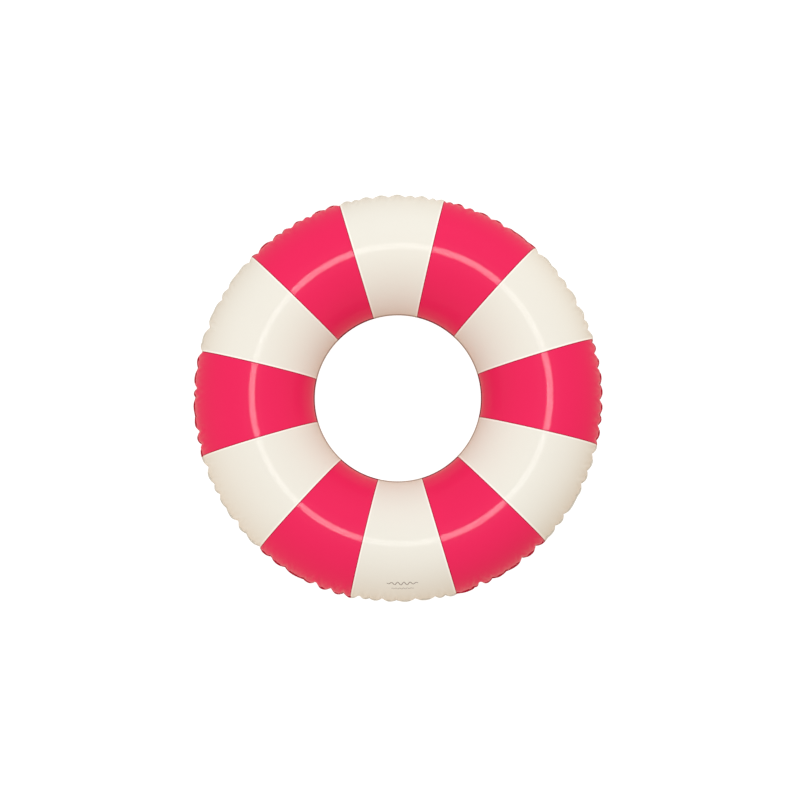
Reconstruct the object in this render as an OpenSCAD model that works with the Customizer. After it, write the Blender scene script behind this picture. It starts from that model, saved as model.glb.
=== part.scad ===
// Inflatable swim ring: a torus of thin film made of equal pink and cream bands,
// welded along an outer and an inner seam, with an inflation valve on the underside.
// The ring lies on z = 0 with its axis on +Z, and the valve looks towards -Y.

/* [Ring] */
// Diameter over the outer weld seam
ring_d = 900; // [800:10:1200]
// Diameter of the body opening, inside the inner weld seam
hole_d = 364; // [240:2:380]
// Number of colour bands round the ring
band_count = 12; // [8:4:20]
// Thickness of the film
film_t = 0.35; // [0.3:0.05:0.5]
// Width of the outer weld seam
outer_seam_w = 4; // [3:0.5:8]
// Width of the inner weld seam
inner_seam_w = 3; // [2:0.5:6]
// Width of the flattened band that the ring rests on
floor_band_w = 10; // [6:1:20]

/* [Valve] */
// Angle of the valve below the ring's outer seam
valve_drop = 40; // [30:1:50]
// Hole through the film and the flange
valve_hole_d = 27; // [26:0.5:30]
// Diameter of the flange welded inside the film
flange_d = 44; // [38:1:60]
// Thickness of the flange
flange_t = 1; // [0.8:0.1:1.4]
// Thickness of the flexible skirt between flange and stem
skirt_t = 0.6; // [0.5:0.05:0.8]
// Outer diameter of the stem
stem_d = 15; // [14:0.5:16]
// Height of the pulled-out stem above the film
stem_out = 13; // [12.5:0.5:15]
// Depth of the pulled-out stem below the film
stem_in = 8; // [7:0.5:10]
// Distance that the stem pushes in
stem_travel = 11; // [8:0.5:11]
// Bore that takes a pump nozzle
nozzle_d = 8.5; // [7:0.5:9]
// Diameter of the lip round the stem's mouth
lip_d = 18; // [17:0.5:19]
// Thickness of the lip
lip_t = 1.4; // [1:0.1:1.8]

/* [Stopper] */
// Diameter of the stopper's cap
cap_d = 20; // [19:0.5:21]
// Thickness of the stopper's cap
cap_t = 2.5; // [2:0.1:3]
// Diameter of the plug where it meets the cap
plug_d = 9.9; // [9.5:0.1:10.5]
// Diameter of the plug's end
plug_end_d = 7.6; // [7:0.1:8]
// Length of the plug
plug_len = 6; // [5:0.5:6.5]
// Distance from the valve's axis to the strap's fold
fold_offset = 12; // [11.5:0.1:12.5]
// Width of the strap
strap_w = 5; // [4:0.5:6]
// Thickness of the strap
strap_t = 1.2; // [1:0.1:1.4]
// Diameter of the collar that holds the strap on the stem
collar_d = 20; // [18.5:0.5:21]
// Length of the pull tab
tab_len = 6; // [4:1:8]

/* [Check flap] */
// Diameter of the flap that closes the stem's inner end
flap_d = 12.6; // [11:0.2:13]
// Thickness of the flap
flap_t = 0.8; // [0.6:0.1:1]
// Distance from the valve's axis to the flap's fold
flap_fold_offset = 7; // [6.8:0.1:7.2]

/* [Hidden] */
$fn = 144;
PINK = [0.95, 0.20, 0.39];
CREAM = [0.93, 0.91, 0.86];
VINYL = [0.90, 0.90, 0.87];

// Tube section: its radius at the film's outside and where its centre lies
tube_r = (ring_d / 2 - outer_seam_w - hole_d / 2 - inner_seam_w) / 2;
tube_centre_r = (ring_d / 2 - outer_seam_w + hole_d / 2 + inner_seam_w) / 2;
tube_centre_z = sqrt(pow(tube_r, 2) - pow(floor_band_w / 2, 2));

band_angle = 360 / band_count;
valve_azimuth = 270;
valve_band = 1 + valve_azimuth / band_angle;

// Heights along the valve's axis, from the film's outer surface
lip_z = stem_out - lip_t;
collar_gap = 0.1;
collar_z = lip_z - collar_gap - strap_t;
fold_z = (collar_z + strap_t + stem_out) / 2;
skirt_depth = 0.7;
skirt_rim_z = -film_t - skirt_depth - skirt_t / 2;
skirt_rise = stem_travel / 2;
plug_play = 0.1;
plug_bore_d = plug_d + plug_play;
plug_end_room = 1.5;
plug_bore_len = plug_len + plug_end_room;
flap_gap = 0.1;
flap_z = -stem_in - flap_gap - flap_t;
fold_gap = 0.3;
eps = 1;

function two_digits(k) = str(k < 10 ? "0" : "", k);
function panel_name(side, k) = str(side, "_panel_", two_digits(k));
function panel_names(side) = [for (k = [1:band_count]) panel_name(side, k)];

// Frame of the valve: +Z points out of the ring along the valve's axis, from the film's
// outer surface, and -X points up towards the outer seam.
module at_valve() {
    rotate([0, 0, valve_azimuth])
        translate([tube_centre_r, 0, tube_centre_z])
            rotate([0, 90 + valve_drop, 0])
                translate([0, 0, tube_r])
                    children();
}

module tube_section(r, floor_z) {
    intersection() {
        translate([tube_centre_r, tube_centre_z]) circle(r);
        translate([0, floor_z]) square([ring_d, 2 * tube_r]);
    }
}

// Film section between two depths below the outer surface, flat where it meets the floor
module film_section(depth, thickness) {
    difference() {
        tube_section(tube_r - depth, depth);
        tube_section(tube_r - depth - thickness, depth + thickness);
    }
}

module seam_margins(z) {
    translate([hole_d / 2, z]) square([inner_seam_w + film_t, film_t]);
    translate([tube_centre_r + tube_r - film_t, z]) square([outer_seam_w + film_t, film_t]);
}

// Half of the tube's film, above or below the seams, with its weld margins
module half_section(upper) {
    half_z = upper ? tube_centre_z : tube_centre_z - ring_d;
    intersection() {
        film_section(0, film_t);
        translate([0, half_z]) square([ring_d, ring_d]);
    }
    seam_margins(upper ? tube_centre_z : tube_centre_z - film_t);
}

module one_band(k, angle = band_angle) {
    rotate([0, 0, (k - 1) * band_angle - angle / 2])
        rotate_extrude(angle = angle) children();
}

module band_color(k) {
    color(k % 2 == 1 ? PINK : CREAM) children();
}

module upper_panel(k) {
    band_color(k) one_band(k) half_section(true);
}

module lower_panel(k) {
    band_color(k) difference() {
        one_band(k) half_section(false);
        if (k == valve_band)
            at_valve() cylinder(d = valve_hole_d, h = flange_d, center = true);
    }
}

// Ring of thicker vinyl on the inside of the film, round the valve hole
module valve_flange() {
    color(VINYL) difference() {
        intersection() {
            one_band(valve_band, band_angle / 2) film_section(film_t, flange_t);
            at_valve() cylinder(d = flange_d, h = flange_d, center = true);
        }
        at_valve() cylinder(d = valve_hole_d, h = flange_d, center = true);
    }
}

// Cone that turns inside out as the stem is pushed in
module valve_skirt() {
    color(VINYL) at_valve() rotate_extrude() polygon([
        [valve_hole_d / 2, skirt_rim_z - skirt_t / 2],
        [valve_hole_d / 2, skirt_rim_z + skirt_t / 2],
        [stem_d / 2, skirt_rim_z + skirt_t / 2 + skirt_rise],
        [stem_d / 2, skirt_rim_z - skirt_t / 2 + skirt_rise]
    ]);
}

// Tube with a lip at its mouth, a wide bore for the plug and a narrower one for a nozzle
module valve_stem() {
    color(VINYL) at_valve() difference() {
        union() {
            translate([0, 0, -stem_in]) cylinder(d = stem_d, h = stem_in + stem_out);
            translate([0, 0, lip_z]) cylinder(d = lip_d, h = lip_t);
        }
        translate([0, 0, -stem_in - eps]) cylinder(d = nozzle_d, h = stem_in + stem_out);
        translate([0, 0, stem_out - plug_bore_len])
            cylinder(d = plug_bore_d, h = plug_bore_len + eps);
    }
}

// Ring round the stem under its lip, with the short fixed half of the strap
module strap_collar() {
    color(VINYL) at_valve() translate([0, 0, collar_z]) difference() {
        union() {
            cylinder(d = collar_d, h = strap_t);
            translate([fold_gap - fold_offset, -strap_w / 2, 0])
                cube([fold_offset - fold_gap, strap_w, strap_t]);
        }
        translate([0, 0, -eps]) cylinder(d = stem_d, h = strap_t + 2 * eps);
    }
}

// Moving half of the strap, from its fold to the edge of the cap
module stopper_strap() {
    color(VINYL) at_valve() translate([0, 0, stem_out]) difference() {
        translate([fold_gap - fold_offset, -strap_w / 2, 0])
            cube([fold_offset - fold_gap, strap_w, strap_t]);
        translate([0, 0, -eps]) cylinder(d = cap_d, h = strap_t + 2 * eps);
    }
}

// Cap with a tapered plug below it and a pull tab opposite the strap
module stopper() {
    color(VINYL) at_valve() translate([0, 0, stem_out]) {
        cylinder(d = cap_d, h = cap_t);
        translate([0, 0, -plug_len]) cylinder(d1 = plug_end_d, d2 = plug_d, h = plug_len);
        translate([cap_d / 2 - eps, -strap_w / 2, 0]) cube([tab_len, strap_w, strap_t]);
        translate([cap_d / 2 - eps + tab_len, 0, 0]) cylinder(d = strap_w, h = strap_t);
    }
}

// Disc over the stem's inner end, with the tab that it folds on
module check_flap() {
    color(VINYL) at_valve() translate([0, 0, flap_z]) {
        cylinder(d = flap_d, h = flap_t);
        translate([flap_gap - flap_fold_offset, -strap_w / 2, 0])
            cube([flap_fold_offset, strap_w, flap_t]);
    }
}

for (k = [1:band_count]) {
    upper_panel(k);
    lower_panel(k);
}
valve_flange();
valve_skirt();
valve_stem();
strap_collar();
stopper_strap();
stopper();
check_flap();
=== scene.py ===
"""An inflatable swim ring: 24 film panels round a tube, puckered along the outer weld seam, with a
push-in valve underneath. Metres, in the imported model's frame: +Z is the ring's axis."""
import math

import bmesh
import bpy
import numpy as np
from mathutils import Matrix, Vector


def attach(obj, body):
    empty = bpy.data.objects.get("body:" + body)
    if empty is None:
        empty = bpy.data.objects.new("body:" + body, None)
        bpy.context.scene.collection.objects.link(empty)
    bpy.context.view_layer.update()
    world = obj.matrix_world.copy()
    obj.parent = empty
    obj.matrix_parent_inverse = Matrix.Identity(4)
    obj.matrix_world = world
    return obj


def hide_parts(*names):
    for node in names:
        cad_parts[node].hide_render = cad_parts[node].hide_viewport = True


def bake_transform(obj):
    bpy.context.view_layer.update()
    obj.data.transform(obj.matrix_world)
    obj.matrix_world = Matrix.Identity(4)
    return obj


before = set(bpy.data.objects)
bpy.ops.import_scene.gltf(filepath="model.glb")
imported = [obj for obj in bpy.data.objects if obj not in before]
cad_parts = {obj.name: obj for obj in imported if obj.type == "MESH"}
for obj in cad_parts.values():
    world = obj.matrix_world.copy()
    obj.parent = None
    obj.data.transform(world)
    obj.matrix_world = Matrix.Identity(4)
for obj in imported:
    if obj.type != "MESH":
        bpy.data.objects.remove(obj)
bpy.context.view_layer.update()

# Ring, as in the CAD
OUTER_R = 0.450
HOLE_R = 0.182
OUTER_SEAM_W = 0.004
INNER_SEAM_W = 0.003
FILM_T = 0.00035
BANDS = 12
FLOOR_BAND_W = 0.010
TUBE_R = (OUTER_R - OUTER_SEAM_W - HOLE_R - INNER_SEAM_W) / 2
CENTRE_R = (OUTER_R - OUTER_SEAM_W + HOLE_R + INNER_SEAM_W) / 2
CENTRE_Z = math.sqrt(TUBE_R ** 2 - (FLOOR_BAND_W / 2) ** 2)

# Valve, as in the CAD
VALVE_BAND = 10
VALVE_DROP = math.radians(40)
VALVE_HOLE_R = 0.0135
FLANGE_R = 0.022
VALVE_EXACT_R = 0.052
VALVE_BLEND_R = 0.086

# Film grid
SPRING_COLUMNS = 1440
SPRING_STEP = 2 * math.pi / SPRING_COLUMNS
COLUMNS = 2 * SPRING_COLUMNS
PER_PANEL = COLUMNS // BANDS
COLUMN_STEP = 2 * math.pi / COLUMNS
CREST_SHIFT = 0.0095
CREST_SKEW = 0.0090
CREST_SKEW_AT = math.radians(22)
SEAM_PUSH = -0.0003
RIM_DROOP = math.radians(60)
PUCKER_REACH = 0.110
FIRST_ROW_STEP = 0.002
ROW_GROWTH = 1.09
LAST_ROW_STEP = 0.009
MARGIN_ROWS = (0.5, 1.0)   # shares of a weld margin's width
# share of the darker weld colour, painted shade, that the film row at the outer seam takes
SEAM_ROW_PAINTED_SHADE = 0.5

# Puckers of the outer seam
PUCKERS = 87
PUCKER_SEED = 7
PUCKER_GAPS = (1, 0.28, 0.45, 2.0)       # mean, deviation and limits of the random draws
NOTCH_DEPTHS = (0.85, 0.35, 0.2, 1.5)
NOTCH_WIDTHS = (1, 0.25, 0.6, 1.6)
NOTCH_DEPTH = 0.0085
NOTCH_WIDTH = 0.0030
NOTCH_ROUND = 0.0007
NOTCH_FADE = 0.020
NOTCH_FADE_POWER = 1.3
PINCH_DEPTH = 0.0025
PINCH_WIDTH = 0.0016
PINCH_FADE = 0.007
LOBE_DEPTH = 0.0026
LOBE_FADE = 0.014
NOTCH_LIFT = 0.0025
NOTCH_WIDENING = 0.15
CREASE_SHARE = 0.85
RELAX_STEPS = 400

# The front band is blown up a little tighter than the others
TUCK_AT = math.radians(268.8)
TUCK_SPAN = math.radians(12.5)
TUCK_DEPTH = 0.0042
TUCK_FADE = 0.05
TUCK_POWER = 6

# Laps on the diagonals lie a little off the even spacing
DIAGONAL_SHIFT = math.radians(0.8)

# Printed ornament on the front band: section angle, half length, swing, waves and stroke of a line
PRINT_AT = math.radians(269.9)
LONG_WAVE = (math.radians(52.7), 0.033, 0.0042, 5, 0.0015)
SHORT_WAVE = (math.radians(45.6), 0.024, 0.0018, 6, 0.0008)
WAVE_STEPS = 24
INK_T = 0.00012

# Laps between panels: cream film over pink, and the shade of it on the pink side
LAP_W = 0.0033
LAP_EDGE = 0.0038
LAP_RISE = 0.00025
GROOVE_W = 0.0016
GROOVE_EDGE = 0.0022
GROOVE_DEPTH = 0.00015
SIDE_GAP = 0.00002
EDGE_COLUMNS = 24

# Film near the valve
VALVE_AXIS = np.array([0, -math.cos(VALVE_DROP), -math.sin(VALVE_DROP)])
VALVE_X = np.array([0, math.sin(VALVE_DROP), -math.cos(VALVE_DROP)])
VALVE_Y = np.array([1.0, 0, 0])
VALVE_POINT = np.array([0, -CENTRE_R, CENTRE_Z]) + TUBE_R * VALVE_AXIS
VALVE_WINDOW = 0.034
VALVE_GROOVES = (0.0165, 0.0183, 0.0201)
VALVE_GROOVE_T = 0.00012
VALVE_GROOVE_HALF = (0.0005, 0.0002)
VALVE_HOLE_BEVEL = (0.0003, 0.0001)
VALVE_STEP = 0.0003
VALVE_STEP_SPAN = (0.0003, 0.0009)
VALVE_PATCH_ENDS = ((0.35, 0.8), (0.7, 0.25))
TORUS_STEPS = 12
FILM_SHARP = 55
SMOOTH_ANGLE = 50

# Valve pieces, in the valve's frame: x towards the floor, y sideways, u out along the axis
STEM_R = 0.0075
STEM_U = (-0.008, 0.013)
NOZZLE_R, PLUG_BORE_R, PLUG_BORE_U = 0.00425, 0.0050, 0.0055
LIP_R, LIP_U = 0.009, 0.0116
STEM_RIDGE_R, STEM_RIDGE_U = 0.0081, (0.0060, 0.0070)
SKIRT_R = (0.0136, 0.0074)
SKIRT_U = (-0.00135, 0.00415)
SKIRT_T = 0.0006
SKIRT_RIPPLE = 0.00012
COLLAR_R, COLLAR_U = 0.010, (0.0103, 0.0115)
STRAP_W, STRAP_U = 0.005, (0.013, 0.0142)
STRAP_END = 0.0117
CAP_R, CAP_U = 0.010, (0.013, 0.0155)
CAP_DISH, CAP_DISH_R = 0.0003, (0.62 * CAP_R, 0.72 * CAP_R)
PLUG_R, PLUG_END_R, PLUG_END_U = 0.00495, 0.0038, 0.007
PLUG_HOLLOW_R, PLUG_HOLLOW_U = 0.0025, 0.0115
TAB_X, TAB_R = (0.009, 0.015), 0.0025
TAB_RIBS = (0.0118, 0.0133, 0.0148)
TAB_RIB = (0.0003, 0.0016, 0.00025)
FOLD_X, FOLD_U, FOLD_R = 0.012, 0.01225, 0.00135
FOLD_ROOT = 0.0112
FOLD_THIN = 0.0007
EDGE_R = 0.0003
CORNER_R, CORNER_STEPS = 1.5 * EDGE_R, 5
LONGEST_CUT = 0.45
TURNS = 96
VALVE_SHARP = 40

# Studio
RING_CENTRE = Vector((0, 0, CENTRE_Z))
CAMERA_RISE = 3.2
CAMERA_TILT = math.radians(2.3)
CAMERA_TOWARD = math.radians(286)
VIEW_SPAN = 1.763
CAMERA_ROLL = math.radians(1.7)
CAMERA_SHIFT = (0.0028, -0.0023)
FLOOR_R, COVE_R, WALL_H = 4.0, 2.5, 9.0
FLOOR_RINGS = (0.2, 1.0, 2.5)
FLOOR_DROP = 0.0005
FLOOR_GLOW = 0.96
SKY_AXIS = (-0.16, 0.27, 0.95)
SKY = ((0.0, (0.88, 0.71, 0.55, 1)), (0.32, (0.86, 0.675, 0.535, 1)),
       (0.55, (0.775, 0.687, 0.60, 1)), (0.75, (0.60, 0.605, 0.61, 1)))
SKY_STRENGTH = 1.0
CREST_LIGHT_RISE = 8.0
CREST_LIGHT_SIZE = 1.5
CREST_RADIANCE = 33.0
KEY_LIGHT = (1.0, 3.1, 3.1)
KEY_SIZE = 2.5
KEY_RADIANCE = 2.3
FILL_LIGHT = (-3.2, -0.9, 1.0)
FILL_SIZE = 2.5
FILL_RADIANCE = 1.1
FILL_COLOR = (1.0, 0.86, 0.76)

# Colours, linear. Darker weld, rim and pink lap colours paint shade along the seams and laps
PINK = dict(color=(0.84, 0.020, 0.107, 1), deep=(0.80, 0.018, 0.098, 1),
            lap=(0.44, 0.002, 0.035, 1), weld=(0.42, 0.004, 0.028, 1), rim=(0.20, 0.002, 0.012, 1),
            specular=0.06, roughness=0.42, coat=0.13, coat_roughness=0.07)
CREAM = dict(color=(0.815, 0.79, 0.71, 1), deep=(0.80, 0.77, 0.69, 1),
             lap=(0.93, 0.89, 0.82, 1), weld=(0.64, 0.60, 0.52, 1), rim=(0.40, 0.30, 0.22, 1),
             specular=0.10, roughness=0.45, coat=0.055, coat_roughness=0.08)
WEAR_SPREAD = 0.03
VALVE_WHITE = (0.82, 0.82, 0.78, 1)
VALVE_DEEP = (0.74, 0.74, 0.70, 1)
VALVE_ROUGHNESS = (0.28, 0.40)
SCATTER, SCATTER_DEPTH, SCATTER_RADII = 0.20, 0.0008, (1.0, 0.9, 0.75)
INK = ((0.16, 0.12, 0.10, 1), (0.24, 0.19, 0.16, 1))
FLOOR = ((0.15, 0.15, 0.15, 1), (0.16, 0.16, 0.16, 1))

# Noise in the surfaces: scale and detail
FILM_MOTTLE, FILM_WEAR = (7.0, 3.0), (60.0, 3.0)
VALVE_MOTTLE, VALVE_WEAR = (90.0, 3.0), (500.0, 2.0)
INK_MOTTLE, FLOOR_MOTTLE = (400.0, 2.0), (3.0, 2.0)

# Relief of the surfaces: noise scale, noise detail, strength and depth
FILM_GRAIN = (1400.0, 2.0, 0.12, 0.00004)
FILM_RIPPLE = (28.0, 1.0, 0.10, 0.0006)
VALVE_GRAIN = (1800.0, 2.0, 0.15, 0.00005)
KNURL_SCALE, KNURL_STRENGTH, KNURL_DEPTH = 900.0, 0.35, 0.0002


def tube_section(phi):
    """Radius and height above the seams of the taut film, at section angle phi (0: outer seam)."""
    push = SEAM_PUSH * (1 + np.cos(phi)) / 2
    radius = CENTRE_R + TUBE_R * np.cos(phi) + CREST_SHIFT * np.sin(phi) ** 2 + push
    return radius, TUBE_R * np.sin(phi)


def row_layout():
    """Arc distances from the outer seam and section angles of the upper film's rows, and how many of
    the rows lie in the puckered zone."""
    fine = np.linspace(0, math.pi, 6001)
    radius, height = tube_section(fine)
    arc = np.concatenate([[0], np.cumsum(np.hypot(np.diff(radius), np.diff(height)))])
    rows, step = [0.0], FIRST_ROW_STEP
    while rows[-1] < PUCKER_REACH:
        rows.append(rows[-1] + step)
        step = min(step * ROW_GROWTH, LAST_ROW_STEP)
    puckered = len(rows)
    smooth = int(round((arc[-1] - rows[-1]) / LAST_ROW_STEP))
    rows = np.concatenate([rows, np.linspace(rows[-1], arc[-1], smooth + 1)[1:]])
    return rows, np.interp(rows, arc, fine), puckered


def mirrored(upper):
    """Rows of the lower film, outermost last, before those of the upper film, without the shared seam."""
    return np.concatenate([-upper[:0:-1], upper])


def angles(columns):
    return np.arange(columns) * 2 * math.pi / columns


def around(radius, height, turn):
    """Points about the ring's axis; a radius or height is a number or has a row for each circle."""
    return np.stack([radius * np.cos(turn), radius * np.sin(turn), height + 0 * turn], -1)


def unit(vectors):
    return vectors / np.linalg.norm(vectors, axis=-1, keepdims=True)


def per_row(values):
    return np.asarray(values)[:, None, None]


def ahead(rows):
    return np.roll(rows, -1, 1)


def behind(rows):
    return np.roll(rows, 1, 1)


def irregular(rng, mean, deviation, low, high):
    return np.clip(mean + deviation * rng.standard_normal(PUCKERS), low, high)


def notch_set():
    """The seam's notches, irregular in place, depth and width, and which way each one leans."""
    rng = np.random.default_rng(PUCKER_SEED)
    gap = irregular(rng, *PUCKER_GAPS)
    edge = np.cumsum(gap)
    place = (edge - 0.5 * gap[0]) * 2 * math.pi / edge[-1]
    depth = irregular(rng, *NOTCH_DEPTHS)
    width = irregular(rng, *NOTCH_WIDTHS)
    return place, depth, width, rng.uniform(-1, 1, PUCKERS)


def notches(columns, reach, spread=0.0):
    """Profiles along the seam of its notches; `spread` widens them."""
    place, depth, width, _ = notch_set()
    away = (angles(columns)[None] - place[:, None] + math.pi) % (2 * math.pi) - math.pi
    reach = reach * width[:, None] + spread
    return depth[:, None] * np.exp(-np.hypot(away * OUTER_R, NOTCH_ROUND) / reach)


def lobes(columns):
    """Profile along the seam of the round lobes between the notches: 0 at the top of a lobe."""
    place, depth, _, _ = notch_set()
    theta = angles(columns)
    after = np.searchsorted(place, theta) % PUCKERS
    before = after - 1
    gap = (place[after] - place[before]) % (2 * math.pi)
    share = 2 * ((theta - place[before]) % (2 * math.pi)) / gap
    falling = depth[before] * np.clip(1 - share, 0, 1) ** 2
    return falling + depth[after] * np.clip(share - 1, 0, 1) ** 2


def puckered_start(arc, phi):
    """The film with its notches pressed in: points, rows by columns, seams at z = 0."""
    notch = notches(SPRING_COLUMNS, NOTCH_WIDTH)
    theta = angles(SPRING_COLUMNS)
    inward = NOTCH_DEPTH * notch.sum(0)
    lift = NOTCH_LIFT * notch_set()[3] @ notch
    radius, height = tube_section(phi)
    fade = np.exp(-(np.abs(arc) / NOTCH_FADE) ** NOTCH_FADE_POWER)[:, None]
    radius = radius[:, None] - inward * fade * np.cos(phi)[:, None]
    return around(radius, height[:, None] + lift * fade, theta)


def crease_share(arc):
    """How the film's extra length is spread round the ring in each row: most of it at the notches,
    which widen away from the seam. The mean of each row is 1."""
    rows = [notches(SPRING_COLUMNS, NOTCH_WIDTH, NOTCH_WIDENING * abs(far)).sum(0) for far in arc]
    rows = np.array([row / row.mean() for row in rows])
    return 1 - CREASE_SHARE + CREASE_SHARE * rows


def spring(gap, rest, stiffness):
    length = np.sqrt((gap * gap).sum(-1, keepdims=True))
    return gap * (stiffness * (1 - rest / length))


def bend_across(points, force, stiffness):
    turn = (points[2:] + points[:-2] - 2 * points[1:-1]) * stiffness
    force[1:-1] += 2 * turn
    force[2:] -= turn
    force[:-2] -= turn


class Membrane:
    """The puckered zone of the film as a net of springs under air pressure, with the weld margin."""

    STRETCH = 0.010        # strain of the blown-up film round the tube
    HOOP_STRETCH = 0.004   # strain of the film round the ring
    SLACK = 0.075          # extra length round the ring that the flat-cut film has at the seam
    SLACK_END = 0.85       # share of the zone where the extra length has run out
    SLACK_POWER = 1.6
    SHEAR = 0.175
    BEND_LENGTH = 0.0008   # folds tighter than about this are held open by the film's stiffness
    MARGIN_STIFFNESS = 2.0
    MARGIN_BEND = 0.2
    MARGIN_ALIGN = 0.15
    FIRST_STEP, LONGEST_STEP, STEP_GROWTH, STEP_CUT = 0.5, 1.2, 1.1, 0.5
    MIXING, MIXING_FADE = 0.1, 0.99
    STEPS_TO_GROW = 5
    LONGEST_MOVE = 0.0005

    def __init__(self, arc, phi):
        radius, _ = tube_section(phi)
        self.seam = len(arc) // 2
        self.margin_row = np.array(MARGIN_ROWS) * OUTER_SEAM_W
        slack = np.clip(1 - np.abs(arc) / (self.SLACK_END * arc[-1]), 0, 1)
        slack = self.SLACK * slack ** self.SLACK_POWER
        step = np.diff(arc)
        share = np.zeros(len(arc))
        share[:-1] += step / 2
        share[1:] += step / 2
        hoop = SPRING_STEP * radius * (1 + slack) * (1 - self.HOOP_STRETCH)
        hoop_mean = (hoop[1:] + hoop[:-1]) / 2
        slack = per_row(slack) * crease_share(arc)[..., None]
        self.pressure = self.STRETCH / TUBE_R
        self.hoop = per_row(SPRING_STEP * radius * (1 - self.HOOP_STRETCH)) * (1 + slack)
        self.hoop_k = per_row(share / hoop)
        self.length = per_row(step * (1 - self.STRETCH))
        self.length_k = per_row(hoop_mean / (step * (1 - self.STRETCH)))
        self.diagonal = np.hypot((self.hoop[1:] + self.hoop[:-1]) / 2, self.length)
        stiffness = self.STRETCH * self.BEND_LENGTH ** 2
        self.hoop_bend = per_row(stiffness * share / hoop ** 3)
        self.length_bend = per_row(stiffness * hoop[1:-1] / ((step[1:] + step[:-1]) / 2) ** 3)
        # Weld margin: two rows beyond the seam
        half = OUTER_SEAM_W / 2
        margin = hoop[self.seam] * (1 + self.margin_row / OUTER_R)
        self.margin = self.hoop[self.seam] * (1 + per_row(self.margin_row) / OUTER_R)
        self.margin_k = per_row(self.MARGIN_STIFFNESS * np.array([half, half / 2]) / margin)
        self.margin_length_k = self.MARGIN_STIFFNESS * margin[0] / half
        self.margin_diagonal = np.hypot(self.margin[0], half)
        self.margin_bend = per_row(self.MARGIN_BEND * stiffness * half / margin ** 3)
        self.margin_fold = self.MARGIN_BEND * stiffness * margin[0] / half ** 3
        mass = 2 * self.hoop_k + 6 * self.hoop_bend
        mass[:-1] += self.length_k + 2 * self.SHEAR
        mass[1:] += self.length_k + 2 * self.SHEAR
        mass[1:-1] += 6 * self.length_bend
        mass[self.seam] += self.margin_length_k + 1
        self.mass = mass
        self.margin_mass = 2 * self.margin_k + 2 * self.margin_length_k + 6 * self.margin_bend + 1

    def net(self, points, force, length, length_k, diagonal, shear):
        """Adds the pull of the springs between rows, and returns the two diagonals of each cell."""
        after = ahead(points)
        pull = spring(points[1:] - points[:-1], length, length_k)
        force[:-1] += pull
        force[1:] -= pull
        rising, falling = after[1:] - points[:-1], points[1:] - after[:-1]
        pull = spring(rising, diagonal, shear)
        force[:-1] += pull
        force[1:] -= behind(pull)
        pull = spring(falling, diagonal, shear)
        force[1:] -= pull
        force[:-1] += behind(pull)
        return rising, falling

    def hoops(self, points, force, rest, stiffness, bend):
        """Adds the pull and the bending of the springs along each row."""
        after = ahead(points)
        pull = spring(after - points, rest, stiffness)
        force += pull - behind(pull)
        turn = (after + behind(points) - 2 * points) * bend
        force += 2 * turn - ahead(turn) - behind(turn)

    def forces(self, film, margin):
        force = np.zeros_like(film)
        self.hoops(film, force, self.hoop, self.hoop_k, self.hoop_bend)
        rising, falling = self.net(film, force, self.length, self.length_k, self.diagonal, self.SHEAR)
        # A cell's area is half the product of its diagonals, and each corner takes a quarter
        air = np.cross(falling, rising) * (self.pressure / 8)
        air += behind(air)
        force[:-1] += air
        force[1:] += air
        bend_across(film, force, self.length_bend)
        force[[0, 1, -2, -1]] = 0
        # The weld margin, which stands straight out of the seam between the two films
        seam = film[self.seam]
        rows = np.concatenate([seam[None], margin])
        pull = np.zeros_like(rows)
        self.hoops(margin, pull[1:], self.margin, self.margin_k, self.margin_bend)
        self.net(rows, pull, OUTER_SEAM_W / 2, self.margin_length_k, self.margin_diagonal, self.SHEAR)
        bend_across(rows, pull, self.margin_fold)
        out = np.cross(ahead(seam[None])[0] - behind(seam[None])[0],
                       film[self.seam + 1] - film[self.seam - 1])
        out /= np.sqrt((out * out).sum(-1, keepdims=True))
        align = (seam + out * per_row(self.margin_row) - margin) * self.MARGIN_ALIGN
        pull[1:] += align
        force[self.seam] += pull[0] - align.sum(0)
        return force, pull[1:]

    def relax(self, film, margin, steps):
        """Lets the film settle: fast inertial relaxation with a cap on each step."""
        film, margin = film.copy(), margin.copy()
        speed, margin_speed = np.zeros_like(film), np.zeros_like(margin)
        step, mixing, good = self.FIRST_STEP, self.MIXING, 0
        for _ in range(steps):
            force, pull = self.forces(film, margin)
            if (force * speed).sum() + (pull * margin_speed).sum() > 0:
                good += 1
                push = (force ** 2 / self.mass).sum() + (pull ** 2 / self.margin_mass).sum()
                pace = (speed ** 2 * self.mass).sum() + (margin_speed ** 2 * self.margin_mass).sum()
                push, pace = math.sqrt(push), math.sqrt(pace)
                speed += mixing * (pace / push * force / self.mass - speed)
                margin_speed += mixing * (pace / push * pull / self.margin_mass - margin_speed)
                if good > self.STEPS_TO_GROW:
                    step = min(self.STEP_GROWTH * step, self.LONGEST_STEP)
                    mixing = self.MIXING_FADE * mixing
            else:
                speed[:], margin_speed[:] = 0, 0
                step, mixing, good = self.STEP_CUT * step, self.MIXING, 0
            cap = self.LONGEST_MOVE / step
            speed = np.clip(speed + step * force / self.mass, -cap, cap)
            margin_speed = np.clip(margin_speed + step * pull / self.margin_mass, -cap, cap)
            film += step * speed
            margin += step * margin_speed
        return film, margin


def level(film, margin, phi):
    """Moves each row of the relaxed film so that its mean section is the taut one, and the weld margin
    with the seam."""
    seam = len(phi) // 2
    radius, height = tube_section(phi)
    spoke = film * [1, 1, 0]
    length = np.linalg.norm(spoke, axis=-1, keepdims=True)
    sag = (length[..., 0].mean(1) - radius)[:, None, None]
    drop = (film[..., 2].mean(1) - height)[:, None, None] * [0, 0, 1]
    out = spoke[seam] / length[seam]
    return film - sag * spoke / length - drop, margin - sag[seam] * out - drop[seam]


def margin_normals(margin):
    """Upward normals of the weld margin's two rows."""
    along = ahead(margin) - behind(margin)
    outward = np.stack([margin[1] - margin[0]] * 2)
    return unit(np.cross(outward, along))


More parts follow.
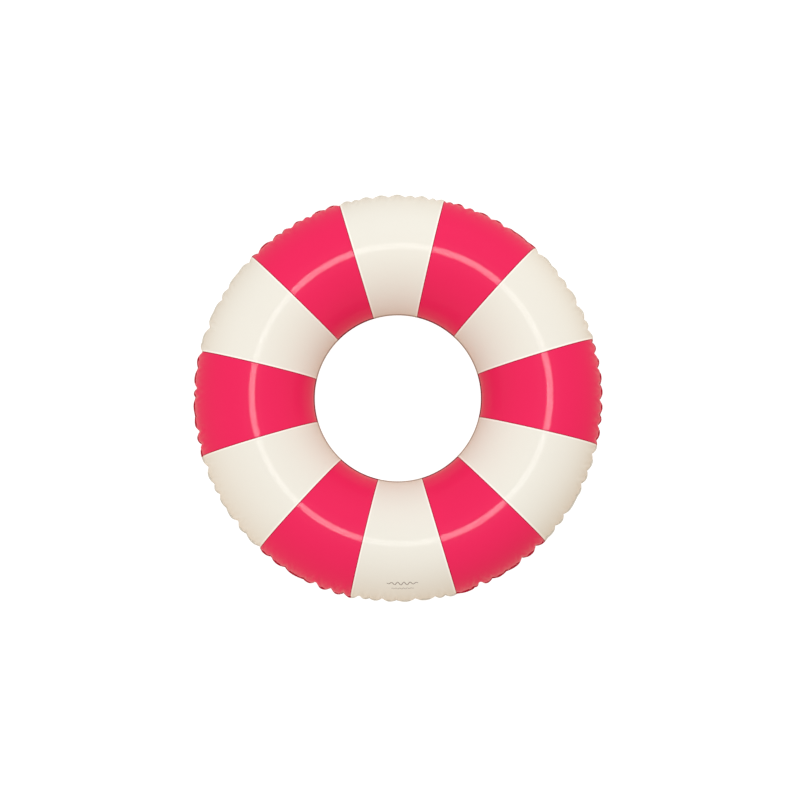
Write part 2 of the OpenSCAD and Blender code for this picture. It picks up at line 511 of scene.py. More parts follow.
def film_normals(film):
    """Outward normals of the film net."""
    along = ahead(film) - behind(film)
    across = np.gradient(film, axis=0)
    return unit(np.cross(along, across))


def denser(rows):
    """The rows with a point more between each two, on the cubic curve through four neighbours."""
    middle = (9 * (rows + ahead(rows)) - behind(rows) - ahead(ahead(rows))) / 16
    return np.stack([rows, middle], 2).reshape(len(rows), -1, 3)


def pinched(rows, far):
    """Rows that lie `far` from the seam, with sharp creases in the notches, round lobes between them
    and the front band tucked in."""
    far = np.abs(far)
    creases = notches(COLUMNS, PINCH_WIDTH).max(0)
    tuck = np.exp(-((angles(COLUMNS) - TUCK_AT) / TUCK_SPAN) ** TUCK_POWER)
    depth = PINCH_DEPTH * np.outer(np.exp(-far / PINCH_FADE), creases)
    depth += LOBE_DEPTH * np.outer(np.exp(-far / LOBE_FADE), lobes(COLUMNS))
    depth += TUCK_DEPTH * np.outer(np.exp(-far / TUCK_FADE), tuck)
    return rows - depth[..., None] * unit(rows * [1, 1, 0])


def skewed(film, phi):
    """The ring was blown up a little unevenly: its crest leans outward on one side."""
    theta = angles(COLUMNS)
    lean = CREST_SKEW * np.outer(np.sin(phi) ** 2, np.cos(theta - CREST_SKEW_AT))
    return film + lean[..., None] * around(1, 0, theta)


def meet_valve(film, phi):
    """The film with the round section of the CAD near the valve, which fits its flange."""
    theta = angles(COLUMNS)
    phi = phi[:, None]
    radius = CENTRE_R + TUBE_R * np.cos(phi)
    exact = around(radius, TUBE_R * np.sin(phi), theta)
    sideways = (theta[None] - 1.5 * math.pi) * radius
    away = np.hypot(sideways, (phi + VALVE_DROP) * TUBE_R)
    share = np.clip((away - VALVE_EXACT_R) / (VALVE_BLEND_R - VALVE_EXACT_R), 0, 1)
    share = (share * share * (3 - 2 * share))[..., None]
    return exact + share * (film - exact)


def film_net():
    """The whole film in the row frame: rows from the lower to the upper inner seam, the outer weld
    margin's two rows, and each row's section angle."""
    arc, phi, puckered = row_layout()
    arc, phi = mirrored(arc), mirrored(phi)
    seam = len(arc) // 2
    film = puckered_start(arc, phi)
    outward = unit(film[seam] * [1, 1, 0])
    margin = film[seam] + per_row(MARGIN_ROWS) * OUTER_SEAM_W * outward
    zone = slice(seam - puckered + 1, seam + puckered)
    film[zone], margin = Membrane(arc[zone], phi[zone]).relax(film[zone], margin, RELAX_STEPS)
    film[zone], margin = level(film[zone], margin, phi[zone])
    film, margin = pinched(denser(film), arc), pinched(denser(margin), [0, 0])
    film = meet_valve(skewed(film, phi), phi)
    film[..., 2] = np.maximum(film[..., 2] + CENTRE_Z, 0)
    return film, margin + [0, 0, CENTRE_Z], phi


def shell_rows(film, margin, phi, upper):
    """Outer and inner faces of one half of the film, from the outer margin's edge to the inner
    margin's edge, the mean radius of each row, and how much it is in the outer or inner margin."""
    side = 1 if upper else -1
    seam = len(phi) // 2
    up = side * FILM_T * np.array([0, 0, 1])
    margin_up = side * FILM_T * margin_normals(margin)
    rows, normal = film[seam::side], film_normals(film)[seam::side]
    inward = -unit(rows[-1] * [1, 1, 0])
    droop = math.cos(RIM_DROOP) * inward - [0, 0, math.sin(RIM_DROOP)]
    inner_margin = rows[-1] + per_row(MARGIN_ROWS) * INNER_SEAM_W * droop
    rim_up = side * FILM_T * (math.sin(RIM_DROOP) * inward + [0, 0, math.cos(RIM_DROOP)])
    outer = np.concatenate([(margin + margin_up)[::-1], [rows[0] + margin_up[0]], rows[1:-1],
                            [rows[-1] + up], inner_margin + rim_up])
    inner = np.concatenate([margin[::-1], rows[:-1] - FILM_T * normal[:-1],
                            [rows[-1] - FILM_T * inward], inner_margin])
    radius = np.hypot(outer[..., 0], outer[..., 1]).mean(1)
    margins = np.zeros((2, len(outer), 1))
    # outer (weld) and inner (rim) margin rows, whose darker colours are painted shade of the seams
    margins[0, :3] = margins[1, -3:] = 1
    margins[0, 3] = SEAM_ROW_PAINTED_SHADE
    return outer, inner, radius, margins


def panel_columns(k, radius, lap):
    """Where a panel's columns lie in each row, counted in grid columns: its sides and lap keep a
    constant width, and the rest follow the grid."""
    first = (k - 1) * PER_PANEL - PER_PANEL // 2
    pitch = radius[:, None] * COLUMN_STEP
    edge = np.array([SIDE_GAP, *lap]) / pitch
    share = np.linspace(0, 1, EDGE_COLUMNS - 1)[1:]
    near = edge[:, -1:] + (EDGE_COLUMNS - edge[:, -1:]) * share[:-1]
    start = np.concatenate([edge, near], 1)
    middle = np.arange(EDGE_COLUMNS, PER_PANEL - EDGE_COLUMNS + 1) + 0 * pitch
    columns = np.concatenate([start, middle, PER_PANEL - start[:, ::-1]], 1)
    low, high = lap_shift(k - 1), lap_shift(k)
    return first + low + columns * (1 + (high - low) / PER_PANEL)


def lap_shift(boundary):
    """How far, in grid columns, a boundary between panels lies off the even spacing; 0 is at -15 deg."""
    if boundary % 3 != 2:
        return 0.0
    return DIAGONAL_SHIFT / COLUMN_STEP * (1 if boundary % 6 == 2 else -1)


def sample(points, columns):
    """Points of the net at fractional columns."""
    low = np.floor(columns).astype(int)
    share = (columns - low)[..., None]
    row = np.arange(len(points))[:, None]
    return points[row, low % COLUMNS] * (1 - share) + points[row, (low + 1) % COLUMNS] * share


def strips(a, b):
    """Faces between closed rows of vertices."""
    return np.stack([a, np.roll(a, -1, -1), np.roll(b, -1, -1), b], -1)


def closed_shell(outer, inner):
    """Points and faces of a closed thin shell between two grids of points, and the grid's numbering."""
    rows, columns = outer.shape[:2]
    points = np.concatenate([outer, inner[::-1]]).reshape(-1, 3)
    number = np.arange(2 * rows * columns).reshape(2 * rows, columns)
    a, b = number, np.roll(number, -1, 0)
    skin = np.stack([a[:, :-1], a[:, 1:], b[:, 1:], b[:, :-1]], -1)
    sides = []
    for column in (0, columns - 1):
        face, back = number[:rows, column], number[rows:, column][::-1]
        sides.append(np.stack([face[:-1], face[1:], back[1:], back[:-1]], -1))
    return points, skin, np.concatenate(sides), number


def on_torus(x, y, depth=0.0):
    """Points of the CAD's film surface over (x, y) in the valve's frame, that far beneath it."""
    points = VALVE_POINT + np.outer(x, VALVE_X) + np.outer(y, VALVE_Y)
    for _ in range(TORUS_STEPS):
        away, out = torus_distance(points)
        points = points - np.outer(away, VALVE_AXIS)
    return points - out * np.reshape(depth, (-1, 1))


def torus_distance(points):
    """Distance of points from the CAD's film surface, and its outward normals there."""
    spoke = points * [1, 1, 0]
    centre = CENTRE_R * spoke / np.linalg.norm(spoke, axis=1, keepdims=True) + [0, 0, CENTRE_Z]
    arm = points - centre
    length = np.linalg.norm(arm, axis=1, keepdims=True)
    return length[:, 0] - TUBE_R, arm / length


def valve_rings():
    """Radii of the rings round the valve hole and how deep the film is pressed there by the weld."""
    width, depth = VALVE_HOLE_BEVEL
    radii, depths = [VALVE_HOLE_R, VALVE_HOLE_R + width], [depth, 0.0]
    lip, floor = VALVE_GROOVE_HALF
    for groove in VALVE_GROOVES:
        radii += [groove - lip, groove - floor, groove + floor, groove + lip]
        depths += [0.0, VALVE_GROOVE_T, VALVE_GROOVE_T, 0.0]
    before, after = VALVE_STEP_SPAN
    return radii + [FLANGE_R - before, FLANGE_R + after], depths + [0.0, VALVE_STEP]


def valve_patch(points, loop, depth):
    """Rings of points from the valve hole out to a loop of the panel's own points."""
    local = points[loop] - VALVE_POINT
    x, y = local @ VALVE_X, local @ VALVE_Y
    reach = np.hypot(x, y)
    rings = [on_torus(x / reach * r, y / reach * r, depth + d) for r, d in zip(*valve_rings())]
    last = valve_rings()[0][-1]
    for share, sunk in VALVE_PATCH_ENDS:
        r = last + share * (reach - last)
        rings.append(on_torus(x / reach * r, y / reach * r, depth + sunk * VALVE_STEP))
    return rings


def window_loop(number, low, high, left, right):
    """The vertices round a window of the grid, in order."""
    bottom, back = number[high, left + 1:right + 1], number[low + 1:high + 1, left]
    sides = [number[low, left:right], number[low:high, right], bottom[::-1], back[::-1]]
    return np.concatenate(sides)


def cut_valve_window(points, skin, number, row_phi):
    """Takes a window out of the shell at the valve and fills it with rings round the valve hole."""
    rows = len(row_phi)
    near = np.flatnonzero(np.abs(row_phi + VALVE_DROP) * TUBE_R < VALVE_WINDOW)
    low, high, last = near[0], near[-1], 2 * rows - 1
    half = int(VALVE_WINDOW / (COLUMN_STEP * (CENTRE_R + TUBE_R * math.cos(VALVE_DROP))))
    left, right = PER_PANEL // 2 - half, PER_PANEL // 2 + half
    keep = np.ones(skin.shape[:2], bool)
    keep[low:high, left:right] = keep[last - high:last - low, left:right] = False
    faces, rims = [skin[keep]], []
    for depth, inner in ((0.0, False), (FILM_T, True)):
        grid = number[rows:][::-1] if inner else number
        loop = window_loop(grid, low, high, left, right)
        rings = valve_patch(points, loop, depth)
        first = len(points)
        points = np.concatenate([points, *rings])
        ids = [first + len(loop) * i + np.arange(len(loop)) for i in range(len(rings))] + [loop]
        for a, b in zip(ids[:-1], ids[1:]):
            faces.append(strips(a, b))
        rims.append(ids[0])
    faces.append(strips(*rims))
    return points, np.concatenate(faces)


def mesh_object(name, points, faces, smooth_angle=SMOOTH_ANGLE, **fields):
    """A mesh object with outward faces, smooth but for its sharp edges, and named number fields."""
    faces = np.asarray(faces)
    used, faces = np.unique(faces, return_inverse=True)
    faces = faces.reshape(-1, 4)
    mesh = bpy.data.meshes.new(name)
    mesh.from_pydata(points[used].tolist(), [], faces.tolist())
    for field, values in fields.items():
        data = mesh.attributes.new(field, "FLOAT", "POINT").data
        data.foreach_set("value", values[used].astype(np.float32))
    return finished(name, mesh, smooth_angle)


def added(name, data):
    item = bpy.data.objects.new(name, data)
    bpy.context.scene.collection.objects.link(item)
    return item


def finished(name, mesh, smooth_angle=SMOOTH_ANGLE):
    """Turns the faces outward, sets the shading and adds the object to the scene."""
    work = bmesh.new()
    work.from_mesh(mesh)
    bmesh.ops.remove_doubles(work, verts=work.verts, dist=1e-7)
    bmesh.ops.recalc_face_normals(work, faces=work.faces)
    work.to_mesh(mesh)
    work.free()
    mesh.shade_smooth()
    mesh.set_sharp_from_angle(angle=math.radians(smooth_angle))
    return added(name, mesh)


def film_panel(side, k, film, margin, phi):
    """One panel of film as a closed shell, with its weld margins and its laps to both neighbours."""
    cream = k % 2 == 0
    upper = side == "upper"
    outer, inner, radius, margins = shell_rows(film, margin, phi, upper)
    columns = panel_columns(k, radius, (LAP_W, LAP_EDGE) if cream else (GROOVE_W, GROOVE_EDGE))
    outer, inner = sample(outer, columns), sample(inner, columns)
    edge = np.zeros(columns.shape)
    edge[:, [0, 1, -2, -1]] = 1
    out = unit(outer - inner)
    outer = outer + out * (LAP_RISE if cream else -GROOVE_DEPTH) * edge[..., None]
    points, skin, sides, number = closed_shell(outer, inner)
    weld, rim = np.broadcast_to(margins, (2, *columns.shape))
    faces = skin.reshape(-1, 4)
    if not upper and k == VALVE_BAND:
        row_phi = np.concatenate([[0, 0], phi[len(phi) // 2::-1], [-math.pi] * 2])
        points, faces = cut_valve_window(points, skin, number, row_phi)
    rest = np.zeros(len(points) - number.size)
    # lap: the pink lap is darkened as painted shade, the cream lap is only paler
    # weld: the real knurled outer margin, with its darker colour as painted shade; rim: painted shade
    fields = {"weld": weld, "rim": rim, "lap": edge}
    fields = {name: np.concatenate([*grid, *grid[::-1], rest]) for name, grid in fields.items()}
    faces = np.concatenate([faces, sides])
    panel = mesh_object(f"{side}_panel_{k:02d}_film", points, faces, FILM_SHARP, **fields)
    panel.data.materials.append(CREAM_FILM if cream else PINK_FILM)
    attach(panel, "ring")
    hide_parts(f"{side}_panel_{k:02d}")


def on_film(film, phi, azimuth, angle):
    """Points of the film net at azimuths and section angles."""
    column, row = azimuth / COLUMN_STEP, np.interp(angle, phi, np.arange(len(phi)))
    left, below = np.floor(column).astype(int), np.floor(row).astype(int)
    across, up = (column - left)[..., None], (row - below)[..., None]
    low = film[below, left] * (1 - across) + film[below, left + 1] * across
    high = film[below + 1, left] * (1 - across) + film[below + 1, left + 1] * across
    return low * (1 - up) + high * up


def printed_wave(name, film, phi, angle, half_length, swing, waves, stroke):
    """A thin ribbon of ink that waves along the front band."""
    share = np.linspace(-1, 1, WAVE_STEPS * waves + 1)
    swing = swing * np.cos(0.5 * math.pi * share) ** 0.5
    line = np.stack([half_length * share, swing * np.sin(math.pi * waves * share)])
    run = np.gradient(line, axis=1)
    normal = np.stack([-run[1], run[0]]) / np.hypot(*run)
    x, y = line[:, None] + stroke / 2 * np.array([1, -1])[:, None] * normal[:, None]
    azimuth = PRINT_AT + x / (CENTRE_R + TUBE_R * math.cos(angle))
    place = on_film(film, phi, azimuth, angle + y / TUBE_R)
    out = around(math.cos(angle), math.sin(angle), azimuth)
    points, skin, sides, _ = closed_shell(place + INK_T * out, place + INK_T / 4 * out)
    ink = mesh_object(name, points, np.concatenate([skin.reshape(-1, 4), sides]))
    ink.data.materials.append(PRINT_INK)
    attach(ink, "ring")


def from_valve(points):
    """Points (x, y, u) of the valve's frame, in the row frame."""
    return VALVE_POINT + np.asarray(points, float) @ np.array([VALVE_X, VALVE_Y, VALVE_AXIS])


def rounded(corners, radius, closed=True):
    """The outline with its corners rounded by parabolas; an open outline keeps its two ends."""
    corners = np.asarray(corners, float)
    points = []
    for i, corner in enumerate(corners):
        if not closed and i in (0, len(corners) - 1):
            points.append(corner)
            continue
        before, after = corners[i - 1] - corner, corners[(i + 1) % len(corners)] - corner
        long_before, long_after = np.linalg.norm(before), np.linalg.norm(after)
        cut = min(radius, LONGEST_CUT * long_before, LONGEST_CUT * long_after)
        start, end = corner + before * cut / long_before, corner + after * cut / long_after
        for t in np.linspace(0, 1, CORNER_STEPS):
            points.append((1 - t) ** 2 * start + 2 * t * (1 - t) * corner + t ** 2 * end)
    return np.array(points)


def ringed(name, rings, wrap):
    """A closed surface through rings of the valve's frame; `wrap` joins it up."""
    number = np.arange(rings.shape[0] * rings.shape[1]).reshape(rings.shape[:2])
    faces = strips(number, np.roll(number, -1, 0)) if wrap else strips(number[:-1], number[1:])
    return mesh_object(name, from_valve(rings).reshape(-1, 3), faces, VALVE_SHARP)


def lathe(name, outline, wrap=True):
    """A solid of revolution from an outline of (radius, u); one that ends on the axis isn't wrapped."""
    return ringed(name, around(outline[:, :1], outline[:, 1:], angles(TURNS)), wrap)


def inset(outline, distance):
    """A counter-clockwise outline moved inward."""
    along = np.roll(outline, -1, 0) - np.roll(outline, 1, 0)
    inward = np.stack([-along[:, 1], along[:, 0]], -1)
    return outline + distance * inward / np.linalg.norm(inward, axis=1, keepdims=True)


def lifted(outline, height):
    return np.column_stack([outline, np.full(len(outline), height)])


def slab(name, outline, low, high, hole_r=None, edge=EDGE_R):
    """A flat moulding with rounded rims, and a round hole about the axis if it has one."""
    quarter = np.linspace(0, math.pi / 2, 4)
    rim = [(edge * (1 - math.sin(t)), low + edge * (1 - math.cos(t))) for t in quarter]
    rim += [(distance, low + high - height) for distance, height in rim[::-1]]
    rings = [lifted(inset(outline, distance), height) for distance, height in rim]
    if hole_r is None:
        middle = 0 * outline + outline.mean(0)
        rings = [lifted(middle, low), *rings, lifted(middle, high)]
    else:
        spoke = unit(outline)
        rings += [lifted(spoke * (hole_r + distance), height) for distance, height in rim[::-1]]
    return ringed(name, np.array(rings), hole_r is not None)


def disc_with_tongue(radius, reach, width):
    """Outline of a disc with a tongue that reaches towards -x."""
    half = math.asin(width / 2 / radius)
    turn = np.linspace(-math.pi + half, math.pi - half, 72)
    disc = radius * np.column_stack([np.cos(turn), np.sin(turn)])
    tip = [disc[-1], (-reach, width / 2), (-reach, -width / 2), disc[0]]
    return np.concatenate([disc, rounded(tip, 3 * EDGE_R, closed=False)[1:-1]])


def bar(x_low, x_high, width, radius=3 * EDGE_R):
    """Outline of a rectangle across the x axis with rounded corners."""
    half = width / 2
    return rounded([(x_low, -half), (x_high, -half), (x_high, half), (x_low, half)], radius)


def united(piece, *others):
    """Fuses the others into the piece, as one closed mesh."""
    for other in others:
        fuse = piece.modifiers.new("union", "BOOLEAN")
        fuse.operation, fuse.solver, fuse.object = "UNION", "EXACT", other
    bpy.context.view_layer.update()
    fused = piece.evaluated_get(bpy.context.evaluated_depsgraph_get())
    whole = bpy.data.meshes.new_from_object(fused)
    piece.modifiers.clear()
    piece.data = whole
    whole.set_sharp_from_angle(angle=math.radians(VALVE_SHARP))
    for other in others:
        bpy.data.objects.remove(other)
    return piece


def vinyl(piece):
    piece.data.materials.append(VALVE_VINYL)
    return piece


def valve_stem():
    """Tube with a lip, a ridge under the collar and a step between its two bores."""
    low, high = STEM_U
    ridge_low, ridge_high = STEM_RIDGE_U
    outline = [(NOZZLE_R, low), (STEM_R, low), (STEM_R, ridge_low), (STEM_RIDGE_R, ridge_low),
               (STEM_RIDGE_R, ridge_high), (STEM_R, ridge_high), (STEM_R, LIP_U), (LIP_R, LIP_U),
               (LIP_R, high), (PLUG_BORE_R, high), (PLUG_BORE_R, PLUG_BORE_U),
               (NOZZLE_R, PLUG_BORE_U)]
    stem = vinyl(lathe("valve_stem_moulding", rounded(outline, CORNER_R)))
    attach(stem, "stem")
    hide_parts("valve_stem")


def valve_skirt():
    """Thin cone with an S-shaped section; on the real valve this skirt rolls over as the stem is pushed
    in.
    """
    share = np.linspace(0, 1, 33)
    radius = SKIRT_R[0] + (SKIRT_R[1] - SKIRT_R[0]) * share
    height = SKIRT_U[0] + (SKIRT_U[1] - SKIRT_U[0]) * share ** 2 * (3 - 2 * share)
    height += SKIRT_RIPPLE * np.sin(8 * math.pi * share) * 4 * share * (1 - share)
    middle = np.column_stack([radius, height])
    along = np.gradient(middle, axis=0)
    side = np.column_stack([along[:, 1], -along[:, 0]])
    side *= SKIRT_T / 2 / np.linalg.norm(side, axis=1, keepdims=True)
    outline = np.concatenate([middle + side, (middle - side)[::-1]])
    skirt = vinyl(lathe("valve_skirt_moulding", outline))
    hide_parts("valve_skirt")
    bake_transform(skirt)


def strap_collar():
    """Ring round the stem with the arm that carries the strap's fold."""
    outline = disc_with_tongue(COLLAR_R, STRAP_END, STRAP_W)
    collar = vinyl(slab("strap_collar_moulding", outline, *COLLAR_U, hole_r=STEM_R))
    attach(collar, "stem")
    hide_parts("strap_collar")


def stopper():
    """Dished cap with a hollow plug, and a pull tab with ribs for the fingers."""
    low, high = CAP_U
    dish_r, rim_r = CAP_DISH_R
    outline = [(0, high - CAP_DISH), (dish_r, high - CAP_DISH), (rim_r, high), (CAP_R, high),
               (CAP_R, low), (PLUG_R, low), (PLUG_END_R, PLUG_END_U), (PLUG_HOLLOW_R, PLUG_END_U),
               (PLUG_HOLLOW_R, PLUG_HOLLOW_U), (0, PLUG_HOLLOW_U)]
    cap = lathe("stopper_moulding", rounded(outline, CORNER_R, closed=False), wrap=False)
    turn = np.linspace(-math.pi / 2, math.pi / 2, 25)
    tip = np.column_stack([TAB_X[1] + TAB_R * np.cos(turn), TAB_R * np.sin(turn)])
    outline = np.concatenate([[(TAB_X[0], -TAB_R)], tip, [(TAB_X[0], TAB_R)]])
    tab = slab("pull_tab", outline, *STRAP_U)
    half, reach, rise = TAB_RIB
    span = (STRAP_U[1] - rise, STRAP_U[1] + rise)
    outlines = [bar(x - half, x + half, 2 * reach, half) for x in TAB_RIBS]
    ribs = [slab("rib", outline, *span, edge=rise / 2) for outline in outlines]
    plug = vinyl(united(cap, tab, *ribs))
    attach(plug, "stopper")
    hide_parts("stopper")


def stopper_strap():
    """Moving half of the strap, from its fold to the cap."""
    strap = vinyl(slab("stopper_strap_moulding", bar(-STRAP_END, -CAP_R, STRAP_W), *STRAP_U))
    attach(strap, "stopper")
    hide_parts("stopper_strap")


def strap_fold():
    """The strap's thin living hinge: a U-shaped ribbon between its two halves."""
    turn = np.linspace(-math.pi / 2, -3 * math.pi / 2, 25)
    bend = np.column_stack([-FOLD_X + FOLD_R * np.cos(turn), FOLD_U + FOLD_R * np.sin(turn)])
    path = np.concatenate([[(-FOLD_ROOT, bend[0, 1])], bend, [(-FOLD_ROOT, bend[-1, 1])]])
    along = np.gradient(path, axis=0)
    out = unit(np.column_stack([-along[:, 1], along[:, 0]]))
    share = np.abs(np.linspace(-1, 1, len(path))) ** 2
    thick = FOLD_THIN + (STRAP_U[1] - STRAP_U[0] - FOLD_THIN) * share
    rings = []
    for (x, u), (side_x, side_u), t in zip(path, out, thick):
        across, along = bar(-t / 2, t / 2, STRAP_W, EDGE_R).T
        rings.append(np.column_stack([x + side_x * across, along, u + side_u * across]))
    rings = [0 * rings[0] + rings[0].mean(0), *rings, 0 * rings[-1] + rings[-1].mean(0)]
    fold = vinyl(ringed("strap_fold", np.array(rings), wrap=False))
    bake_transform(fold)


def valve():
    """The pieces of the valve; its flange and its check flap stay as they are in the CAD."""
    valve_stem()
    valve_skirt()
    strap_collar()
    stopper()
    stopper_strap()
    strap_fold()
    for name in ("valve_flange", "check_flap"):
        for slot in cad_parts[name].material_slots:
            slot.material = VALVE_VINYL


class Nodes:
    """Short names for the nodes of one material or world."""

    def __init__(self, owner, shader="Principled BSDF"):
        self.owner = owner
        owner.use_nodes = True
        self.tree = owner.node_tree
        self.shader = self.tree.nodes[shader]

    def add(self, kind, inputs=(), **settings):
        """Adds a node; inputs are (socket, value or output socket) pairs."""
        node = self.tree.nodes.new(kind)
        for name, value in settings.items():
            setattr(node, name, value)
        self.join(node, inputs)
        return node

    def join(self, node, inputs):
        for socket, value in inputs:
            if isinstance(value, bpy.types.NodeSocket):
                self.tree.links.new(value, node.inputs[socket])
            else:
                node.inputs[socket].default_value = value

    def field(self, name):
        return self.add("ShaderNodeAttribute", attribute_name=name).outputs["Fac"]

    def noise(self, scale, detail):
        inputs = [("Vector", self.position()), ("Scale", scale), ("Detail", detail)]
        return self.add("ShaderNodeTexNoise", inputs).outputs["Fac"]

    def spread(self, value, low, high):
        """Maps 0..1 to low..high."""
        return self.add("ShaderNodeMapRange", [(0, value), (3, low), (4, high)]).outputs[0]

    def mix(self, share, first, second):
        node = self.add("ShaderNodeMix", data_type="RGBA")
        self.join(node, [(0, share), (6, first), (7, second)])
        return node.outputs[2]

    def position(self):
        return self.add("ShaderNodeTexCoord").outputs["Object"]

    def relief(self, scale, detail, strength, depth, normal=None):
        return self.bump(self.noise(scale, detail), strength, depth, normal)

    def bump(self, height, strength, distance, normal=None):
        inputs = [("Height", height), ("Strength", strength), ("Distance", distance)]
        if normal is not None:
            inputs.append(("Normal", normal))
        return self.add("ShaderNodeBump", inputs).outputs["Normal"]


def film_material(name, color, deep, lap, weld, rim, specular, roughness, coat, coat_roughness):
    """Glossy vinyl film: faint mottling, calendered grain, paler cream laps, knurled welds, painted shade
    at seams and pink laps.
    """
    n = Nodes(bpy.data.materials.new(name))
    base = n.mix(n.noise(*FILM_MOTTLE), deep, color)
    # pink laps, weld margins and inner rim are darkened as painted shade; the cream lap is paler
    for field, shade in (("lap", lap), ("weld", weld), ("rim", rim)):
        base = n.mix(n.field(field), base, shade)
    ripple = n.relief(*FILM_RIPPLE, n.relief(*FILM_GRAIN))
    knurl = n.add("ShaderNodeTexVoronoi", [("Scale", KNURL_SCALE), ("Vector", n.position())])
    inputs = [(0, knurl.outputs["Distance"]), (1, n.field("weld"))]
    height = n.add("ShaderNodeMath", inputs, operation="MULTIPLY").outputs[0]
    normal = n.bump(height, KNURL_STRENGTH, KNURL_DEPTH, ripple)
    rough = n.spread(n.noise(*FILM_WEAR), roughness - WEAR_SPREAD, roughness + WEAR_SPREAD)
    n.join(n.shader, [("Base Color", base), ("Normal", normal), ("Roughness", rough),
                      ("Specular IOR Level", specular), ("Coat Weight", coat),
                      ("Coat Roughness", coat_roughness), ("Coat Normal", ripple)])
    return n.owner


def valve_material():
    """Milky vinyl moulding: soft, slightly see-through, with a fine moulded grain."""
    n = Nodes(bpy.data.materials.new("milky_vinyl"))
    base = n.mix(n.noise(*VALVE_MOTTLE), VALVE_DEEP, VALVE_WHITE)
    rough = n.spread(n.noise(*VALVE_WEAR), *VALVE_ROUGHNESS)
    normal = n.relief(*VALVE_GRAIN)
    n.join(n.shader, [("Base Color", base), ("Normal", normal), ("Roughness", rough),
                      ("Subsurface Weight", SCATTER), ("Subsurface Scale", SCATTER_DEPTH),
                      ("Subsurface Radius", SCATTER_RADII)])
    return n.owner


def ink_material():
    """Matt printed ink, a little uneven."""
    n = Nodes(bpy.data.materials.new("print_ink"))
    base = n.mix(n.noise(*INK_MOTTLE), *INK)
    n.join(n.shader, [("Base Color", base), ("Roughness", 0.6), ("Specular IOR Level", 0.2)])
    return n.owner


def floor_material():
    """Matt white floor that glows a little, so that it reads as white."""
    n = Nodes(bpy.data.materials.new("studio_white"))
    base = n.mix(n.noise(*FLOOR_MOTTLE), *FLOOR)
    n.join(n.shader, [("Base Color", base), ("Roughness", 0.9), ("Specular IOR Level", 0.0),
                      ("Emission Color", (1, 1, 1, 1)), ("Emission Strength", FLOOR_GLOW)])
    return n.owner


def studio_floor():
    """A wide disc that curves up into a wall far away. Only the camera sees it: the sky lights the
    ring from below instead."""
    turns = np.linspace(0, 2 * math.pi, 96, endpoint=False)
    bend = np.linspace(0, math.pi / 2, 13)
    radius = np.concatenate([FLOOR_RINGS, FLOOR_R + COVE_R * np.sin(bend), [FLOOR_R + COVE_R]])
    height = np.concatenate([[0] * len(FLOOR_RINGS), COVE_R * (1 - np.cos(bend)), [WALL_H]])
    points = around(radius[:, None], height[:, None], turns)
    number = np.arange(points[..., 0].size).reshape(len(radius), -1)
    faces = strips(number[:-1], number[1:]).reshape(-1, 4).tolist()
    faces.append(number[0].tolist())
    mesh = bpy.data.meshes.new("studio_floor")
    mesh.from_pydata((points.reshape(-1, 3) - [0, 0, FLOOR_DROP]).tolist(), [], faces)
    floor = finished("studio_floor", mesh)
    floor.data.materials.append(floor_material())
    floor.visible_diffuse = floor.visible_glossy = floor.visible_transmission = False
    floor.visible_shadow = False


def sky():
    """Soft studio surround: neutral above, brighter and warmer below."""
    n = Nodes(bpy.data.worlds.new("studio_sky"), "Background")
    bpy.context.scene.world = n.owner
    place = n.add("ShaderNodeTexCoord").outputs["Generated"]
    inputs = [(0, place), (1, Vector(SKY_AXIS).normalized())]
    along = n.add("ShaderNodeVectorMath", inputs, operation="DOT_PRODUCT").outputs["Value"]
    share = n.add("ShaderNodeMapRange", [(0, along), (1, -1), (2, 1)]).outputs[0]
    ramp = n.add("ShaderNodeValToRGB", [(0, share)])
    stops = ramp.color_ramp.elements
    while len(stops) < len(SKY):
        stops.new(1)
    for stop, (position, color) in zip(stops, SKY):
        stop.position, stop.color = position, color
    n.join(n.shader, [("Color", ramp.outputs[0]), ("Strength", SKY_STRENGTH)])


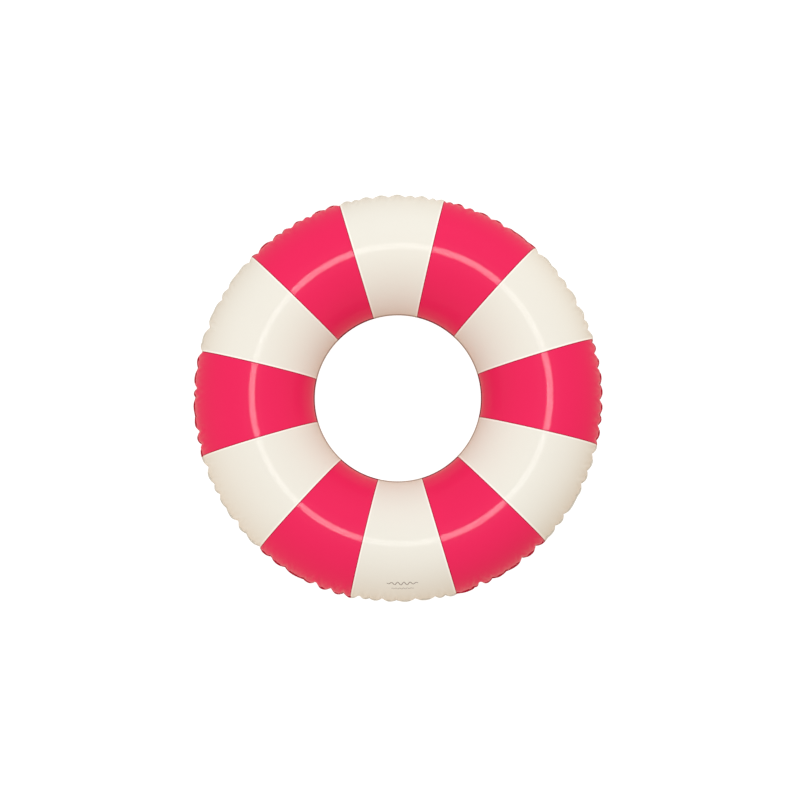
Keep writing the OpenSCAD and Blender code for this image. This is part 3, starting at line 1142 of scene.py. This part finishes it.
def softbox(name, place, size, radiance, shape="DISK", color=(1, 1, 1), glossy=True):
    """An area light of a given radiance, aimed at the ring."""
    data = bpy.data.lights.new(name, "AREA")
    data.shape, data.size, data.color = shape, size, color
    area = math.pi * size ** 2 / 4 if shape == "DISK" else size ** 2
    data.energy = radiance * math.pi * area
    light = added(name, data)
    light.location = place
    light.rotation_euler = (RING_CENTRE - light.location).to_track_quat("-Z", "Y").to_euler()
    light.visible_glossy = glossy
    light.visible_camera = False


def leaning(angle, distance):
    """A point that far from the ring's centre, at that angle from its axis, toward CAMERA_TOWARD."""
    toward = Matrix.Rotation(CAMERA_TOWARD, 3, "Z") @ Vector((math.sin(angle), 0, math.cos(angle)))
    return RING_CENTRE + distance * toward


def camera():
    """Nearly straight above the ring, as in the photograph: slightly off its axis and turned."""
    data = bpy.data.cameras.new("camera")
    data.sensor_width = 36
    data.lens = data.sensor_width * CAMERA_RISE / VIEW_SPAN
    data.clip_start, data.clip_end = 0.1, 100
    eye = added("camera", data)
    back = leaning(CAMERA_TILT, 1) - leaning(CAMERA_TILT, 0)
    up = Matrix.Rotation(-CAMERA_ROLL, 3, "Z") @ Vector((0, 1, 0))
    right = up.cross(back).normalized()
    eye.matrix_world = Matrix((right, back.cross(right), back)).transposed().to_4x4()
    eye.matrix_world.translation = leaning(CAMERA_TILT, CAMERA_RISE)
    data.shift_x, data.shift_y = CAMERA_SHIFT
    bpy.context.scene.camera = eye


def build_stage():
    bpy.context.scene.view_settings.view_transform = "Standard"
    camera()
    sky()
    studio_floor()
    crest_light = leaning(-CAMERA_TILT, CREST_LIGHT_RISE)
    softbox("crest_light", crest_light, CREST_LIGHT_SIZE, CREST_RADIANCE)
    softbox("key_light", KEY_LIGHT, KEY_SIZE, KEY_RADIANCE, "SQUARE", glossy=False)
    softbox("fill_light", FILL_LIGHT, FILL_SIZE, FILL_RADIANCE, color=FILL_COLOR, glossy=False)


build_stage()
PINK_FILM = film_material("pink_film", **PINK)
CREAM_FILM = film_material("cream_film", **CREAM)
VALVE_VINYL = valve_material()
PRINT_INK = ink_material()
film, margin, phi = film_net()
for band in range(1, BANDS + 1):
    film_panel("upper", band, film, margin, phi)
    film_panel("lower", band, film, margin, phi)
printed_wave("printed_long_wave", film, phi, *LONG_WAVE)
printed_wave("printed_short_wave", film, phi, *SHORT_WAVE)
valve()
